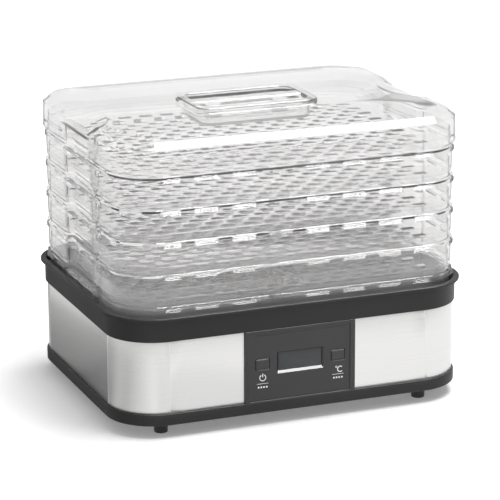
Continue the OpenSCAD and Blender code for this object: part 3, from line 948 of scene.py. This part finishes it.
def background(t, strength):
    n = t.nodes.new("ShaderNodeBackground")
    set_inputs(n, {"Color": (1, 1, 1, 1), "Strength": strength})
    return n


def split_coords(t, kind="Object"):
    c = t.nodes.new("ShaderNodeTexCoord")
    xyz = t.nodes.new("ShaderNodeSeparateXYZ")
    t.links.new(c.outputs[kind], xyz.inputs[0])
    return xyz.outputs


def stage_sheet(name, verts, faces, material):
    mesh = bpy.data.meshes.new(name)
    mesh.from_pydata(verts, [], faces)
    mesh.materials.append(material)
    obj = bpy.data.objects.new(name, mesh)
    scene.collection.objects.link(obj)
    return obj


def make_floor():
    m, t, s = node_mat("floor_white")
    set_inputs(s, {"Base Color": (0.9, 0.9, 0.9, 1), "Roughness": 0.9, "Specular IOR Level": 0.0,
                   "Emission Color": (1, 1, 1, 1)})
    x, y, _ = split_coords(t)
    # away from the object the floor glows a little, so that it stays white to the horizon
    radius = maths(t, "SQRT", maths(t, "ADD", maths(t, "MULTIPLY", x, x), maths(t, "MULTIPLY", y, y)))
    t.links.new(ranged(t, radius, 0.2, 0.9, 0.22, 0.75), s.inputs["Emission Strength"])
    # painted reflection: seen only in glossy surfaces, the floor to the left is painted greyer, by angle round the
    # corner and by distance from the side, darker nearer the base's side as painted shade
    angle = maths(t, "ARCTAN2", maths(t, "SUBTRACT", -CORE_Y * MM, y), maths(t, "SUBTRACT", -CORE_X * MM, x))
    ramp = t.nodes.new("ShaderNodeValToRGB")
    t.links.new(ranged(t, angle, 0, 1, math.radians(-60), math.radians(120)), ramp.inputs[0])
    steps = ((-45, 0.36), (-28, 0.50), (-14, 0.60), (0, 0.58), (13, 0.54), (40, 0.52), (54, 0.64), (66, 0.92),
             (76, 1.08))
    el = ramp.color_ramp.elements
    for i, (a, v) in enumerate(steps):
        e = el[i] if i < 2 else el.new(0.5)
        e.position, e.color = (a + 60) / 180, (v, v, v, 1)
    painted_shade_near = ranged(t, x, 0.44, 0.26, -0.32, -0.168)
    beside = ranged(t, angle, 0.0, 1.0, math.radians(-55), math.radians(-10))
    painted_reflection = mix_value(t, beside, painted_shade_near, ramp.outputs[0])
    painted_reflection = mix_value(t, maths(t, "LESS_THAN", x, 0.0), 1.08, painted_reflection)
    # behind the object it is plain again
    behind = maths(t, "MULTIPLY", ranged(t, y, 0.0, 1.0, 0.125, 0.135), ranged(t, x, 0.0, 1.0, -0.175, -0.165))
    behind = maths(t, "MAXIMUM", behind, ranged(t, y, 0.0, 0.8, 0.5, 1.8))
    painted_reflection = mix_value(t, behind, painted_reflection, 1.1)
    # glossy rays see the painted reflection as emission, transmission rays see plain white, other rays see the lit
    # floor
    path = t.nodes.new("ShaderNodeLightPath")
    seen = mix_shader(t, path.outputs["Is Glossy Ray"], s.outputs[0], emission(t, painted_reflection))
    seen = mix_shader(t, path.outputs["Is Transmission Ray"], seen, emission(t, THROUGH))
    t.links.new(seen, t.nodes["Material Output"].inputs["Surface"])
    h = FLOOR_HALF
    stage_sheet("floor", [(-h, -h, 0), (h, -h, 0), (h, h, 0), (-h, h, 0)], [(0, 1, 2, 3)], m)


def area_light(name, place, aim, size, radiance):
    data = bpy.data.lights.new(name, "AREA")
    data.shape = "RECTANGLE"
    data.size, data.size_y = size
    data.energy = radiance * math.pi * size[0] * size[1]
    light = bpy.data.objects.new(name, data)
    light.location = place
    light.rotation_euler = (Vector(aim) - Vector(place)).to_track_quat("-Z", "Y").to_euler()
    scene.collection.objects.link(light)
    return light


def make_world():
    w = bpy.data.worlds.new("studio")
    scene.world = w
    w.use_nodes = True
    t = w.node_tree
    t.nodes.clear()
    out = t.nodes.new("ShaderNodeOutputWorld")
    sky, white, clear = background(t, 1.0), background(t, 1.05), background(t, THROUGH)
    ramp = t.nodes.new("ShaderNodeValToRGB")
    t.links.new(ranged(t, split_coords(t, "Generated")["Z"], 0, 1, -0.2, 1.0), ramp.inputs[0])
    el = ramp.color_ramp.elements
    el[0].position, el[0].color = 0.0, (0.95, 0.95, 0.95, 1)
    el[1].position, el[1].color = 1.0, (0.55, 0.55, 0.55, 1)
    for p, v in ((0.2, 0.9), (0.45, 0.4), (0.7, 0.45)):
        e = el.new(p)
        e.color = (v, v, v, 1)
    t.links.new(ramp.outputs[0], sky.inputs["Color"])
    path = t.nodes.new("ShaderNodeLightPath")
    seen = mix_shader(t, path.outputs["Is Camera Ray"], sky.outputs[0], white.outputs[0])
    seen = mix_shader(t, path.outputs["Is Transmission Ray"], seen, clear.outputs[0])
    t.links.new(seen, out.inputs["Surface"])


def make_softbox_card(radiance):
    """The softbox as glossy surfaces see it."""
    m, t, _ = node_mat("softbox_card")
    x, y, _ = split_coords(t)
    right = ranged(t, x, 1.0, 0.0, 1.1, 1.6)
    back = ranged(t, y, 1.0, 0.0, 0.0, 0.3)
    glow = maths(t, "MULTIPLY", maths(t, "MULTIPLY", right, back), radiance)
    t.links.new(emission(t, glow), t.nodes["Material Output"].inputs["Surface"])
    corners = ((-0.085, -0.75), (1.3, -0.75), (1.3, 0.3), (-0.085, 0.3),
               (-0.9, -1.7), (1.6, -1.7), (1.6, -0.78), (-0.9, -0.78))
    card = stage_sheet("softbox_card", [(*c, SOFTBOX_Z) for c in corners], [(0, 1, 2, 3), (4, 5, 6, 7)], m)
    card.visible_camera = card.visible_diffuse = card.visible_transmission = card.visible_shadow = False


make_floor()
key = area_light("softbox_top", (0.35, -0.1, SOFTBOX_Z), (0, 0, 0.15), (1.5, 0.9), 8.0)
key.visible_glossy = False
make_softbox_card(24.0)
make_world()
scene.view_settings.view_transform = "Standard"
scene.cycles.max_bounces = 40
scene.cycles.transmission_bounces = 36
scene.cycles.glossy_bounces = 12
scene.cycles.transparent_max_bounces = 24
